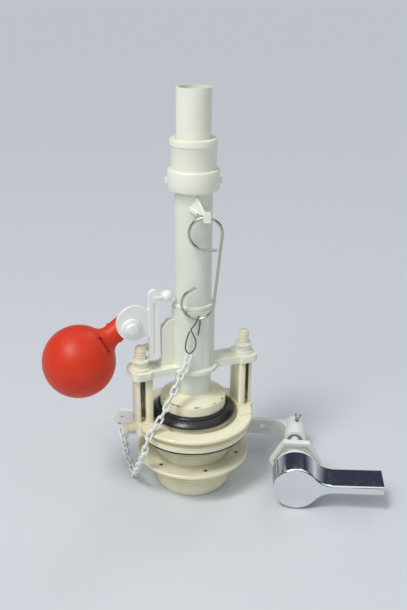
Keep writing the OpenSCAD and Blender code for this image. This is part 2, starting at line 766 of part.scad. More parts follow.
// Latch arm: upright bar with a round end, finger, pivot tongue, rear lug and the clamp plate
module latch_arm() {
    bar_out = latch_bar_x + latch_bar_w;
    bar_x = latch_bar_x + bar_end_r;
    neck_d = 5.4;
    groove_w = 2;
    groove_d = 0.8;
    lug_y = 4.7;
    lug_t = 2.8;
    lug_l = 3.4;
    lug_z = latch_bar_z + 2.6;
    color("white") mirror([1, 0, 0]) difference() {
        union() {
            slab(latch_bar_y, latch_bar_t) {
                translate([latch_bar_x, latch_bar_z]) square([latch_bar_w, latch_bar_h - bar_end_r]);
                translate([bar_x, latch_bar_top - bar_end_r]) circle(r = bar_end_r);
            }
            translate([finger_x, finger_y, finger_z]) {
                rotate([0, 90, 0]) cylinder(d = neck_d, h = bar_x - finger_x);
                sphere(d = finger_d);
            }
            plate_xz(tongue_w) {
                translate([pivot_x, pivot_z]) circle(d = tongue_h);
                translate([pivot_x, pivot_z - tongue_h / 2]) square([bar_x - pivot_x, tongue_h]);
            }
            slab(plate_y, plate_t) {
                translate([plate_x, plate_z]) circle(d = plate_d);
                polygon([[bar_x, plate_z - 15], [bar_x, plate_z + 10], [plate_x - 8, plate_z + 10],
                         [plate_x - 6, plate_z - 12]]);
            }
            slab(latch_bar_y + 1, lug_y + lug_t - latch_bar_y - 1)
                translate([bar_out - 4, lug_z]) square([3, 6.4]);
            slab(lug_y, lug_t) polygon([
                [bar_out - 4, lug_z], [bar_out - 1, lug_z], [bar_out + lug_l, lug_z + 2.4],
                [bar_out + lug_l, lug_z + 5.2], [bar_out - 1, lug_z + 6.4], [bar_out - 4, lug_z + 6.4]
            ]);
        }
        translate([bar_x - groove_w / 2, latch_bar_y - 1, latch_bar_z + 3])
            cube([groove_w, groove_d + 1, latch_bar_h - 14]);
        translate([pivot_x, block_w / 2, pivot_z]) rotate([90, 0, 0])
            cylinder(d = latch_pin_d + 2 * pin_gap, h = block_w, $fn = 32);
        translate([cap_x, plate_y - 1, cap_z]) rotate([-90, 0, 0]) cylinder(d = stem_d, h = plate_t + 2);
    }
}

// Domed cap whose stem carries the float
module clamp_cap() {
    dome_h = 5;
    dome_r = 9.4;
    button_d = 10;
    button_t = 1.6;
    color("white") translate([-cap_x, plate_y, cap_z]) rotate([90, 0, 0]) {
        rotate_extrude() intersection() {
            translate([0, dome_h - dome_r]) circle(r = dome_r);
            square([cap_d / 2, dome_h]);
        }
        translate([0, 0, -stem_l]) cylinder(d = stem_d, h = stem_l + eps);
        translate([0, 0, -stem_l - button_t]) cylinder(d = button_d, h = button_t);
    }
}

// Places the float, its neck along +Z
module float_place() {
    mirror([1, 0, 0]) translate([float_x, float_y, float_z]) rotate([0, float_slope - 90, 0]) children();
}

// Hollow ball of the float
module float_ball() {
    r = float_d / 2;
    wall = 1.6;
    color("red") float_place() difference() {
        sphere(r = r);
        sphere(r = r - wall);
    }
}

// Neck that flares into the ball, with a raised ring and an eye for the cap's stem
module float_neck() {
    r = float_d / 2;
    neck_r = float_neck_d / 2;
    flare_s = sqrt(pow(r + flare_r, 2) - pow(neck_r + flare_r, 2));
    touch = r / (r + flare_r);
    ring_h = 2.4;
    ring_rise = 0.5;
    color("red") float_place() difference() {
        union() {
            rotate_extrude() difference() {
                polygon([[0, r / 2], [touch * (neck_r + flare_r), touch * flare_s],
                         [neck_r + flare_r, flare_s], [0, flare_s]]);
                translate([neck_r + flare_r, flare_s]) circle(r = flare_r);
            }
            translate([0, 0, r / 2]) cylinder(r = neck_r, h = float_reach - r / 2);
            translate([0, 0, flare_s + 1.6]) cylinder(r = neck_r + ring_rise, h = ring_h);
            translate([0, 0, float_reach]) sphere(r = neck_r);
        }
        sphere(r = r);
        translate([0, -neck_r - 1, float_reach]) rotate([-90, 0, 0])
            cylinder(d = stem_d + 2 * pin_gap, h = float_neck_d + 2);
    }
}

// Places the lever set, its spindle along +Y and its grip along +X
module lever_place() {
    translate([lever_x, lever_y, 0]) rotate([0, 0, lever_turn]) children();
}

// A turned profile of radius and depth, laid along the spindle
module along_spindle(y) {
    translate([0, y, spindle_z]) rotate([-90, 0, 0]) children();
}

module handle_outline(core_r, inset) {
    blend = 21;
    offset(r = -blend) offset(delta = blend) {
        circle(r = core_r);
        rotate(grip_tilt) translate([0, -grip_h / 2 + inset]) square([grip_reach - inset, grip_h - 2 * inset]);
    }
}

// Handle: a boss that widens to the wall, drawn out into a flat grip, with a bevelled face
module lever_handle() {
    bevel = 1.8;
    boss_r = boss_d / 2;
    sunk = 0.7;
    color("lightsteelblue") lever_place() translate([0, 0, spindle_z]) rotate([90, 0, 0]) {
        translate([0, 0, -handle_depth])
            linear_extrude(handle_depth - bevel / 2) handle_outline(boss_r - sunk, 0);
        translate([0, 0, -bevel / 2 - eps]) linear_extrude(bevel / 2) handle_outline(boss_r - bevel / 2, bevel / 2);
        translate([0, 0, -handle_depth])
            cylinder(r1 = boss_back_d / 2, r2 = boss_r, h = handle_depth - bevel / 2);
    }
}

// The hole for the split pin, through the hub and the spindle
module split_hole() {
    split_pin_place() translate([0, 0, -hub_r - 5]) cylinder(r = split_hole_r, h = 2 * hub_r + 10, $fn = 32);
}

module split_pin_place() {
    translate([0, split_pin_y, spindle_z]) rotate([0, split_lean, 0]) children();
}

module spindle() {
    color("silver") lever_place() difference() {
        along_spindle(handle_depth) cylinder(d = spindle_d, h = hub_y + hub_l - 3 - handle_depth);
        split_hole();
    }
}

// Trip arm: hub with an open mouth, filleted into a railed, tapering arm
module lever_arm() {
    zc = spindle_z - 1.4;
    web = 1.6;
    rail = 2.8;
    mouth_r = 7.2;
    mouth_l = 9;
    fillet = 12;
    head_l = 16;
    tip_x = -arm_reach;
    hole_d = 3.4;
    hole_head = [-arm_reach + 7.8, 2.2];
    hole_low = [-arm_reach + 5, -5.4];
    hole_mid = [-arm_reach / 5.7, 0];
    mid_hole_d = 4.2;
    color("gainsboro") lever_place() difference() {
        union() {
            along_spindle(hub_y) cylinder(r = hub_r, h = hub_l);
            translate([0, arm_y + arm_t, zc]) rotate([90, 0, 0]) linear_extrude(arm_t) polygon([
                [0, arm_h / 2], [tip_x + head_l, arm_tip_h / 2], [tip_x + 4.6, arm_tip_h / 2],
                [tip_x, 1.2], [tip_x - 4, -1], [tip_x, -2.6], [tip_x + 3, -6.6],
                [tip_x + 7, -arm_tip_h / 2], [tip_x + head_l, -arm_tip_h / 2], [0, -arm_h / 2]
            ]);
            translate([0, 0, zc - arm_h / 2]) linear_extrude(arm_h) difference() {
                translate([-hub_r - fillet + 2, arm_y - fillet]) square([fillet, fillet + arm_t / 2]);
                translate([-hub_r - fillet + 2, arm_y - fillet]) circle(r = fillet);
            }
        }
        along_spindle(hub_y - 1) cylinder(d = spindle_d, h = hub_l - 2);
        along_spindle(hub_y - 1) cylinder(r = mouth_r, h = mouth_l + 1);
        split_hole();
        for (face = [0, 1])
            translate([0, face > 0 ? arm_y + arm_t + 1 : arm_y + (arm_t - web) / 2, zc])
                rotate([90, 0, 0]) linear_extrude((arm_t - web) / 2 + 1) polygon([
                    [-hub_r - fillet - 2, arm_h / 2 - rail], [tip_x + head_l + 4, arm_tip_h / 2 - rail],
                    [tip_x + head_l + 4, -arm_tip_h / 2 + rail], [-hub_r - fillet - 2, -arm_h / 2 + rail]
                ]);
        for (p = [[hole_head, hole_d], [hole_low, hole_d], [hole_mid, mid_hole_d]])
            translate([p[0][0], arm_y - 1, zc + p[0][1]]) rotate([-90, 0, 0])
                cylinder(d = p[1], h = arm_t + 2, $fn = 32);
    }
}

// Split pin through the hub, its eye below and its two legs spread on top
module split_pin() {
    leg_r = 0.95;
    leg_top = hub_r + 2.2;
    eye_r = 2;
    eye_top = -hub_r - 1;
    spread = 17;
    tip_l = 4.6;
    color("gray") lever_place() split_pin_place() {
        for (side = [-1, 1]) translate([side, 0, 0]) {
            translate([0, 0, eye_top - 1]) cylinder(r = leg_r, h = leg_top - eye_top + 1, $fn = 32);
            translate([0, 0, leg_top]) sphere(r = leg_r + 2 * eps, $fn = 32);
            translate([0, 0, leg_top]) rotate([0, side * spread, 0]) cylinder(r = leg_r, h = tip_l, $fn = 32);
        }
        translate([0, 0, eye_top - eye_r - 0.4]) rotate([90, 0, 0])
            rotate_extrude() translate([eye_r, 0]) circle(r = leg_r, $fn = 32);
    }
}

module wall_bushing() {
    flange_r = bushing_flange_d / 2;
    stem_r = bushing_stem_d / 2;
    bore_r = spindle_d / 2 + pin_gap;
    flange_y = handle_depth + bushing_gap;
    color("whitesmoke") lever_place() along_spindle(0) rotate_extrude() polygon([
        [bore_r, flange_y], [flange_r - 2.4, flange_y], [flange_r, flange_y + 1.6],
        [flange_r, washer_y], [stem_r, washer_y], [stem_r, stem_end - 1], [stem_r - 1, stem_end],
        [bore_r, stem_end]
    ]);
}

module wall_washer() {
    color("dimgray") lever_place() along_spindle(washer_y) difference() {
        cylinder(d = bushing_flange_d - 3, h = 2);
        translate([0, 0, -1]) cylinder(d = bushing_stem_d + 2 * thread_gap, h = 4);
    }
}

// Hexagonal nut with a recessed front face
module wall_nut() {
    wall = 3.2;
    color("white") lever_place() along_spindle(wall_nut_y) difference() {
        cylinder(d = wall_nut_af / cos(30), h = wall_nut_t, $fn = 6);
        translate([0, 0, -1]) cylinder(d = (wall_nut_af - 2 * wall) / cos(30), h = 3.2, $fn = 6);
        translate([0, 0, -1]) cylinder(d = bushing_stem_d + 2 * thread_gap, h = wall_nut_t + 2);
    }
}

outlet_shank();
lower_flange();
seat_ring();
left_post();
right_post();
side_peg();
tank_washer();
lock_nut();
bridge();
guide_sleeve();
stud_nuts();
latch_pin();
overflow_pipe();
catch_ring();
valve_disc();
rubber_seal();
seal_clamp();
pipe_socket();
collar();
grip_ring();
hanger_lug();
refill_tube();
latch_arm();
clamp_cap();
float_ball();
float_neck();
wire_hook();
wire_clip();
lift_chain();
lever_handle();
spindle();
lever_arm();
split_pin();
wall_bushing();
wall_washer();
wall_nut();
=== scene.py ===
import json
import math

import bmesh
import bpy
from mathutils import Matrix, Vector

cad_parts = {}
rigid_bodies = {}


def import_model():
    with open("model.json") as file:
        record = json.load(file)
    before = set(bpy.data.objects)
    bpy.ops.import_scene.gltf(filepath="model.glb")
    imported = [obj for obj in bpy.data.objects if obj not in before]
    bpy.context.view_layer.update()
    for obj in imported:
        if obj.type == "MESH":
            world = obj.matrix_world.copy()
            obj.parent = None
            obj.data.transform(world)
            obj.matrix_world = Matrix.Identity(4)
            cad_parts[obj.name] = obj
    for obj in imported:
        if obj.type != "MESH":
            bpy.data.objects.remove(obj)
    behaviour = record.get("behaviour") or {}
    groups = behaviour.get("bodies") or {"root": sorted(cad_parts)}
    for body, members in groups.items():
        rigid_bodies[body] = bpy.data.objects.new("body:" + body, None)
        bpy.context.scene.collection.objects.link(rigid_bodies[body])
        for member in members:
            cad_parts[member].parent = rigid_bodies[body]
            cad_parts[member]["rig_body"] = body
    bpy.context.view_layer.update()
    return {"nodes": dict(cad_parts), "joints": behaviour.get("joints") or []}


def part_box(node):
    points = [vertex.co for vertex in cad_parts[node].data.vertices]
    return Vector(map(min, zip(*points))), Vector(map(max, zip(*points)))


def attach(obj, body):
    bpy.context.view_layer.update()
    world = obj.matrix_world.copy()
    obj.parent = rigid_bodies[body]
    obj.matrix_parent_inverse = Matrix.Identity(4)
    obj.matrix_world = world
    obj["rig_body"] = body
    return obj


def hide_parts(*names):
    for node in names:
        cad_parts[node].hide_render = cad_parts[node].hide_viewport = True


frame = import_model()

MM = 0.001
NODES = frame["nodes"]
UP = Vector((0, 0, 1))


def add_object(name, data):
    thing = bpy.data.objects.new(name, data)
    bpy.context.scene.collection.objects.link(thing)
    return thing


# Camera, at the photograph's viewing angle
EYE = Vector((-205.8, -531.6, 400.0)) * MM
HEADING = 22.0
DOWNWARD = 22.4
ROLL = 0.49
LENS = 44.8
FRAME_HEIGHT = 36.0


def make_camera():
    data = bpy.data.cameras.new("camera")
    data.sensor_fit = "VERTICAL"
    data.sensor_height = FRAME_HEIGHT
    data.lens = LENS
    data.clip_start = 0.01
    camera = add_object("camera", data)
    camera.matrix_world = (
        Matrix.Translation(EYE)
        @ Matrix.Rotation(math.radians(-HEADING), 4, "Z")
        @ Matrix.Rotation(math.radians(90 - DOWNWARD), 4, "X")
        @ Matrix.Rotation(math.radians(ROLL), 4, "Z")
    )
    bpy.context.scene.camera = camera


# The chain's route in millimetres, as in the part's source
CHAIN = [
    (-10.6, -19.5, 130.6), (-14.4, -20.3, 123.2), (-20.2, -22, 112.5), (-26, -23.4, 101.4),
    (-31, -24, 92), (-35, -24.2, 84.2), (-39.4, -24.3, 77), (-42.6, -24.4, 72.6),
    (-45.4, -24.6, 69.8), (-48, -25, 65.8), (-50, -25.2, 60), (-51.5, -24.8, 53.7),
    (-52.6, -22.4, 46.8), (-53, -18, 40), (-53.2, -12.2, 32.4), (-53.2, -5.5, 24.2),
    (-52.6, 2.2, 15.6), (-51.4, 10, 8.4), (-49.8, 18.4, 3.8), (-48.6, 27, 2.4),
    (-48.2, 36, 2.3), (-47.6, 46, 2.3), (-46, 56, 2.3), (-44.4, 64.5, 2.3),
    (-43, 73, 2.8), (-42.3, 79.6, 5), (-41.9, 84.8, 10),
]
LINK_WIDTH = 6.0 * MM
LINK_WIRE = 1.9 * MM
LINK_PITCH = 6.9 * MM
HANGING_ROLL = 12
BENCH_ROLL = 45
LOW_ON_THE_BENCH = 12 * MM


# Small helpers for meshes

# The angle in degrees past which an edge stays sharp in the shading
SHARP_ANGLE = 35
# The angle in degrees past which a mould's edge is rounded
ROUNDED_ANGLE = 40
# How far a thread's tooth is sunk into what carries it, in millimetres
TOOTH_SUNK = 0.3


def mesh_of(name, bm):
    mesh = bpy.data.meshes.new(name)
    bm.to_mesh(mesh)
    bm.free()
    return mesh


def smoothed(mesh, sharp_angle):
    """Shades a mesh smooth, with its edges past the angle left sharp. At 0 degrees none is."""
    mesh.polygons.foreach_set("use_smooth", [True] * len(mesh.polygons))
    if sharp_angle:
        mesh.set_sharp_from_angle(angle=math.radians(sharp_angle))


def put(name, bm, body, look, sharp_angle=SHARP_ANGLE):
    """Turns a bmesh into a piece that rides on a body."""
    mesh = mesh_of(name, bm)
    smoothed(mesh, sharp_angle)
    mesh.materials.append(look)
    piece = add_object(name, mesh)
    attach(piece, body)
    return piece


def turned(profile, steps=96, place=Matrix.Identity(4), closed=True):
    """A bmesh spun full round Z from (radius, height) points in millimetres."""
    bm = bmesh.new()
    rim = [bm.verts.new((r * MM, 0, z * MM)) for r, z in profile]
    pairs = list(zip(rim, rim[1:] + rim[:1])) if closed else list(zip(rim, rim[1:]))
    edges = [bm.edges.new(pair) for pair in pairs]
    bmesh.ops.spin(bm, geom=rim + edges, cent=(0, 0, 0), axis=(0, 0, 1), angle=math.tau,
                   steps=steps, use_merge=True)
    bmesh.ops.remove_doubles(bm, verts=bm.verts, dist=1e-7)
    bmesh.ops.recalc_face_normals(bm, faces=bm.faces)
    bmesh.ops.transform(bm, matrix=place, verts=bm.verts)
    return bm


def screw_thread(radius, depth, pitch, low, high, place=Matrix.Identity(4), steps=64):
    """A raised helical thread round Z, its crest at radius, in millimetres."""
    bm = bmesh.new()
    turns = (high - low) / pitch - 1
    root = radius - depth
    # The tooth's outline: radius, and height as a share of the pitch
    tooth = [(root - TOOTH_SUNK, -0.46), (root, -0.40), (radius, -0.12), (radius, 0.12),
             (root, 0.40), (root - TOOTH_SUNK, 0.46)]
    verts = [bm.verts.new((r * MM, 0, (low + pitch / 2 + z * pitch) * MM)) for r, z in tooth]
    edges = list(bm.faces.new(verts).edges)
    count = max(8, int(turns * steps))
    result = bmesh.ops.spin(bm, geom=verts + edges, cent=(0, 0, 0), axis=(0, 0, 1),
                            dvec=(0, 0, pitch * turns * MM / count), angle=math.tau * turns,
                            steps=count)
    last = [v for v in result["geom_last"] if isinstance(v, bmesh.types.BMVert)]
    bmesh.ops.contextual_create(bm, geom=last)
    bmesh.ops.remove_doubles(bm, verts=bm.verts, dist=1e-7)
    bmesh.ops.recalc_face_normals(bm, faces=bm.faces)
    bmesh.ops.transform(bm, matrix=place, verts=bm.verts)
    return bm


def rod(bm, route, radius, sides):
    """A round rod swept along a route, closed at both ends."""
    rings = []
    side = None
    for i, point in enumerate(route):
        ahead = (route[min(i + 1, len(route) - 1)] - route[max(i - 1, 0)]).normalized()
        side = ahead.orthogonal() if side is None else side - ahead * side.dot(ahead)
        side.normalize()
        other = ahead.cross(side)
        angles = [math.tau * k / sides for k in range(sides)]
        rings.append([bm.verts.new(point + radius * (math.cos(a) * side + math.sin(a) * other))
                      for a in angles])
    for a, b in zip(rings, rings[1:]):
        for k in range(sides):
            bm.faces.new((a[k], a[(k + 1) % sides], b[(k + 1) % sides], b[k]))
    bm.faces.new(rings[0][::-1])
    bm.faces.new(rings[-1])


def body_of(node):
    return NODES[node]["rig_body"]


def top_of(node):
    """The height of a node's top, in millimetres."""
    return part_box(node)[1].z / MM


def radius_of(node):
    """Half a node's width, in millimetres."""
    low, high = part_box(node)
    return (high.x - low.x) / MM / 2


def joint_place(name):
    """A joint's point, and the direction of its axis."""
    joint = next(j for j in frame["joints"] if j["name"] == name)
    return Vector(joint["pos_m"]), Vector(joint["axis"]).normalized()


def copy_of(node):
    """A CAD node's mesh with its triangles joined into whole faces."""
    bm = bmesh.new()
    bm.from_mesh(NODES[node].data)
    bmesh.ops.remove_doubles(bm, verts=bm.verts, dist=2e-6)
    bmesh.ops.dissolve_limit(bm, angle_limit=math.radians(0.5), verts=bm.verts, edges=bm.edges)
    return bm


def moulded(node, look, edge=0.4, sharp_angle=SHARP_ANGLE, form=None):
    """A node's form whose sharp edges are rounded by so many millimetres, as a mould leaves them."""
    piece = put(node + "_form", form or copy_of(node), body_of(node), look, sharp_angle)
    if edge:
        rounding = piece.modifiers.new("rounding", "BEVEL")
        rounding.width = edge * MM
        rounding.segments = 2
        rounding.limit_method = "ANGLE"
        rounding.angle_limit = math.radians(ROUNDED_ANGLE)
        rounding.harden_normals = True
    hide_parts(node)
    return piece


def dressed(node, look):
    """The CAD node itself, with its finish."""
    mesh = NODES[node].data
    mesh.materials.clear()
    mesh.materials.append(look)
    smoothed(mesh, SHARP_ANGLE)


# Colours and finishes

# The moulded skin: its patterns' scales, its grain's depth, and how far its roughness swings
TONE_SCALE = 38.0
FLECK_SCALE = 210.0
GRAIN_SCALE = 900.0
GRAIN_DEPTH = 0.2 * MM
ROUGHNESS_SWING = 0.16
# Where round the valve disc its upper edge has dark marks, in degrees, and how patchy and strong they are
MARKED_ARCS = ((-180, -126), (-109, -93), (-76, -66), (-48, -38), (20, 60))
MARK_SCALE = 150.0
MARK_STRENGTH = 0.8
# How patchy and strong the painted shade in the posts' slots is
SLOT_SHADE_SCALE = 60.0
SLOT_SHADE_STRENGTH = 0.88


def paint(red, green, blue):
    """A colour as the eye sees it, 0 to 255, made linear for the shader."""
    return tuple(
        c / 255 / 12.92 if c / 255 <= 0.04045 else ((c / 255 + 0.055) / 1.055) ** 2.4
        for c in (red, green, blue)
    ) + (1.0,)


def socketed(name, inputs, outputs):
    """A new node group with its sockets, and the nodes at its two ends."""
    group = bpy.data.node_groups.new(name, "ShaderNodeTree")
    for title, kind in inputs:
        group.interface.new_socket(title, in_out="INPUT", socket_type="NodeSocket" + kind)
    for title, kind in outputs:
        group.interface.new_socket(title, in_out="OUTPUT", socket_type="NodeSocket" + kind)
    return group, group.nodes.new("NodeGroupInput"), group.nodes.new("NodeGroupOutput")


def noise(group, coordinates, scale, detail=3.0):
    node = group.nodes.new("ShaderNodeTexNoise")
    node.inputs["Scale"].default_value = scale
    node.inputs["Detail"].default_value = detail
    group.links.new(coordinates, node.inputs["Vector"])
    return node.outputs["Fac"]


def ramp(group, value, low, high):
    """0 up to the low value, 1 from the high one, and even between them."""
    node = group.nodes.new("ShaderNodeMapRange")
    node.inputs["From Min"].default_value = low
    node.inputs["From Max"].default_value = high
    group.links.new(value, node.inputs["Value"])
    return node.outputs["Result"]


def surface_point(group):
    """Where a point lies on the piece: the whole vector, then its X, Y and Z."""
    place = group.nodes.new("ShaderNodeTexCoord").outputs["Object"]
    parts = group.nodes.new("ShaderNodeSeparateXYZ")
    group.links.new(place, parts.inputs[0])
    return place, parts.outputs["X"], parts.outputs["Y"], parts.outputs["Z"]


def worked_out(group, operation, *values):
    """One Math node, fed with sockets or plain numbers."""
    node = group.nodes.new("ShaderNodeMath")
    node.operation = operation
    for socket, value in zip(node.inputs, values):
        if isinstance(value, float):
            socket.default_value = value
        else:
            group.links.new(value, socket)
    return node.outputs[0]


def times(group, a, b):
    return worked_out(group, "MULTIPLY", a, b)


def within(group, value, low, high):
    """1 between two limits, and 0 elsewhere."""
    return times(group, worked_out(group, "GREATER_THAN", value, low),
                 worked_out(group, "LESS_THAN", value, high))


def hypotenuse(group, a, b):
    squares = worked_out(group, "ADD", times(group, a, a), times(group, b, b))
    return worked_out(group, "SQRT", squares)


def blended(group, share, a, b):
    """Colour a where the share is 0, and colour b where it is 1."""
    node = group.nodes.new("ShaderNodeMix")
    node.data_type = "RGBA"
    group.links.new(share, node.inputs["Factor"])
    for source, socket in ((a, node.inputs["A"]), (b, node.inputs["B"])):
        if isinstance(source, tuple):
            socket.default_value = source
        else:
            group.links.new(source, socket)
    return node.outputs["Result"]


def make_skin():
    """Moulded plastic: a slow change of tone, faint flecks and a fine grain."""
    group, inputs, outputs = socketed(
        "moulded_skin",
        [("Colour", "Color"), ("Aged colour", "Color"), ("Age", "Float"), ("Roughness", "Float"),
         ("Grain", "Float")],
        [("Colour", "Color"), ("Roughness", "Float"), ("Normal", "Vector")],
    )
    place = group.nodes.new("ShaderNodeTexCoord").outputs["Object"]
    slow = ramp(group, noise(group, place, TONE_SCALE), 0.38, 0.72)
    share = times(group, slow, inputs.outputs["Age"])
    group.links.new(
        blended(group, share, inputs.outputs["Colour"], inputs.outputs["Aged colour"]),
        outputs.inputs["Colour"],
    )
    uneven = worked_out(group, "MULTIPLY_ADD", noise(group, place, FLECK_SCALE), ROUGHNESS_SWING,
                        inputs.outputs["Roughness"])
    group.links.new(uneven, outputs.inputs["Roughness"])
    bump = group.nodes.new("ShaderNodeBump")
    bump.inputs["Distance"].default_value = GRAIN_DEPTH
    group.links.new(inputs.outputs["Grain"], bump.inputs["Strength"])
    group.links.new(noise(group, place, GRAIN_SCALE, 2.0), bump.inputs["Height"])
    group.links.new(bump.outputs["Normal"], outputs.inputs["Normal"])
    return group


def make_rim_marks():
    """Dark marks on a round rim, between two heights and along a few arcs round it."""
    group, inputs, outputs = socketed(
        "rim_marks",
        [("Colour", "Color"), ("Low", "Float"), ("High", "Float")],
        [("Colour", "Color")],
    )
    place, x, y, z = surface_point(group)
    angle = worked_out(group, "ARCTAN2", y, x)
    band = within(group, z, inputs.outputs["Low"], inputs.outputs["High"])
    patches = 0.0
    for start, end in MARKED_ARCS:
        patch = within(group, angle, math.radians(start), math.radians(end))
        patches = worked_out(group, "ADD", patch, patches)
    marks = ramp(group, noise(group, place, MARK_SCALE, 5.0), 0.38, 0.56)
    marks = times(group, marks, MARK_STRENGTH)
    share = times(group, times(group, band, patches), marks)
    group.links.new(blended(group, share, inputs.outputs["Colour"], paint(104, 92, 66)),
                    outputs.inputs["Colour"])
    return group


def make_slot_shade():
    """Painted shade in the slots of the two posts: a darker band across X, on both sides of the part."""
    group, inputs, outputs = socketed(
        "slot_shade",
        [("Colour", "Color"), ("Near", "Float"), ("Far", "Float"), ("Low", "Float"), ("High", "Float"),
         ("Wide", "Float")],
        [("Colour", "Color")],
    )
    place, x, y, z = surface_point(group)
    share = within(group, worked_out(group, "ABSOLUTE", x), inputs.outputs["Near"], inputs.outputs["Far"])
    inside = worked_out(group, "LESS_THAN", worked_out(group, "ABSOLUTE", y), inputs.outputs["Wide"])
    share = times(group, share, inside)
    share = times(group, share, within(group, z, inputs.outputs["Low"], inputs.outputs["High"]))
    share = times(group, share, ramp(group, noise(group, place, SLOT_SHADE_SCALE), 0.20, 0.45))
    share = times(group, share, SLOT_SHADE_STRENGTH)
    # This brown is painted shade, the dark of the deep slots
    group.links.new(blended(group, share, inputs.outputs["Colour"], paint(104, 93, 78)),
                    outputs.inputs["Colour"])
    return group


def make_hole_shade():
    """Painted shade in and round a ring of small holes round Z. Ring is the ring's radius, Turn the first
    hole's angle,
    Half step half the angle from hole to hole, and Reach a hole's radius."""
    group, inputs, outputs = socketed(
        "hole_shade",
        [("Colour", "Color"), ("Ring", "Float"), ("Turn", "Float"), ("Half step", "Float"),
         ("Reach", "Float")],
        [("Colour", "Color")],
    )
    _, x, y, _ = surface_point(group)
    angle = worked_out(group, "SUBTRACT", worked_out(group, "ARCTAN2", y, x), inputs.outputs["Turn"])
    half_step = inputs.outputs["Half step"]
    folded = worked_out(group, "WRAP", angle, half_step, times(group, half_step, -1.0))
    beside = times(group, folded, inputs.outputs["Ring"])
    out = worked_out(group, "SUBTRACT", hypotenuse(group, x, y), inputs.outputs["Ring"])
    share = worked_out(group, "LESS_THAN", hypotenuse(group, out, beside), inputs.outputs["Reach"])
    # This dark brown is painted shade, the dark seen in the holes
    group.links.new(blended(group, share, inputs.outputs["Colour"], paint(66, 56, 42)),
                    outputs.inputs["Colour"])
    return group


SKIN = make_skin()
RIM_MARKS = make_rim_marks()
SLOT_SHADE = make_slot_shade()
HOLE_SHADE = make_hole_shade()


def shader(name, **settings):
    """A material and its Principled BSDF, whose sockets take the settings."""
    look = bpy.data.materials.new(name)
    look.use_nodes = True
    bsdf = look.node_tree.nodes["Principled BSDF"]
    for socket, value in settings.items():
        bsdf.inputs[socket.replace("_", " ")].default_value = value
    return look, bsdf


def plastic(name, colour, aged, age=0.5, roughness=0.35, grain=0.15, **settings):
    look, bsdf = shader(name, **settings)
    tree = look.node_tree
    skin = tree.nodes.new("ShaderNodeGroup")
    skin.node_tree = SKIN
    skin.inputs["Colour"].default_value = colour
    skin.inputs["Aged colour"].default_value = aged
    skin.inputs["Age"].default_value = age
    skin.inputs["Roughness"].default_value = roughness - ROUGHNESS_SWING / 2
    skin.inputs["Grain"].default_value = grain
    tree.links.new(skin.outputs["Colour"], bsdf.inputs["Base Color"])
    tree.links.new(skin.outputs["Roughness"], bsdf.inputs["Roughness"])
    tree.links.new(skin.outputs["Normal"], bsdf.inputs["Normal"])
    return look


def marked(look, group, **values):
    """Adds a group of marks to a plastic's colour."""
    tree = look.node_tree
    base = tree.nodes["Principled BSDF"].inputs["Base Color"]
    marks = tree.nodes.new("ShaderNodeGroup")
    marks.node_tree = group
    for name, value in values.items():
        marks.inputs[name.replace("_", " ")].default_value = value
    tree.links.new(base.links[0].from_socket, marks.inputs["Colour"])
    tree.links.new(marks.outputs["Colour"], base)
    return look


def metal(name, colour, roughness, grain=0.05):
    return plastic(name, colour, colour, 0.0, roughness, grain, Metallic=1.0)


# The cream plastic's new and aged colours, how aged it is, and its roughness
CREAM_TONES = (paint(244, 239, 210), paint(231, 225, 188), 0.6, 0.36)
CREAM = plastic("cream_plastic", *CREAM_TONES)
PIPE = plastic("pipe_plastic", paint(231, 236, 222), paint(219, 226, 210), 0.5, 0.38)
# Painted shade darkens the slots of the posts, and the six small holes of the lock nut
POST = marked(plastic("post_plastic", *CREAM_TONES), SLOT_SHADE,
              Near=44.45 * MM, Far=48.45 * MM, Low=71 * MM, High=108.4 * MM, Wide=7.2 * MM)
NUT = marked(plastic("nut_plastic", *CREAM_TONES), HOLE_SHADE,
             Ring=38.65 * MM, Turn=math.radians(25), Half_step=math.radians(30), Reach=1.6 * MM)
IVORY = plastic("ivory_plastic", paint(242, 243, 226), paint(232, 232, 210), 0.5, 0.34)
WHITE = plastic("white_plastic", paint(240, 243, 238), paint(229, 232, 224), 0.5, 0.36)
MILKY = plastic("milky_plastic", paint(246, 248, 242), paint(235, 240, 233), 0.4, 0.32,
                Subsurface_Weight=0.12, Subsurface_Scale=0.003)
# The disc has dark marks in a narrow band below its top
DISC = marked(plastic("disc_plastic", paint(246, 241, 213), paint(233, 228, 193), 0.6, 0.36), RIM_MARKS,
              Low=(top_of("valve_disc") - 5.05) * MM, High=(top_of("valve_disc") - 4.35) * MM)
CHAIN_WHITE = plastic("chain_plastic", paint(240, 244, 240), paint(228, 234, 228), 0.4, 0.34)
RUBBER = plastic("black_rubber", paint(30, 30, 34), paint(44, 42, 46), 0.5, 0.30, 0.25)
RED = plastic("red_plastic", paint(217, 55, 24), paint(200, 42, 20), 0.5, 0.42, 0.10,
              Specular_IOR_Level=0.35)
# The crease's darker red is painted shade, that of a groove
CREASE_SHADE_RED = plastic("crease_shade_red_plastic", paint(140, 24, 15), paint(122, 18, 12), 0.5, 0.5, 0.10,
                     Specular_IOR_Level=0.25)
CHROME = metal("chrome", paint(232, 233, 236), 0.10, 0.0)
STEEL = metal("steel_wire", paint(190, 192, 172), 0.22)
DARK_WIRE = metal("dark_wire", paint(104, 106, 98), 0.36)


# The chain comes first

def smooth_route(points, steps):
    """The same curve through the points as in the part's source."""
    last = len(points) - 1
    route = []
    for i in range(last):
        a, b, c, d = (points[max(i - 1, 0)], points[i], points[i + 1], points[min(i + 2, last)])
        for k in range(steps):
            t = k / steps
            route.append(0.5 * (2 * b + (c - a) * t + (2 * a - 5 * b + 4 * c - d) * t * t
                                + (3 * b - a - 3 * c + d) * t ** 3))
    return route + [points[last]]


def length_of(route):
    return sum((b - a).length for a, b in zip(route, route[1:]))


def along(route, distance):
    """The point and the direction at a distance along a route."""
    for a, b in zip(route, route[1:]):
        step = (b - a).length
        if distance <= step or b is route[-1]:
            return a + (b - a) * (distance / step), (b - a).normalized()
        distance -= step


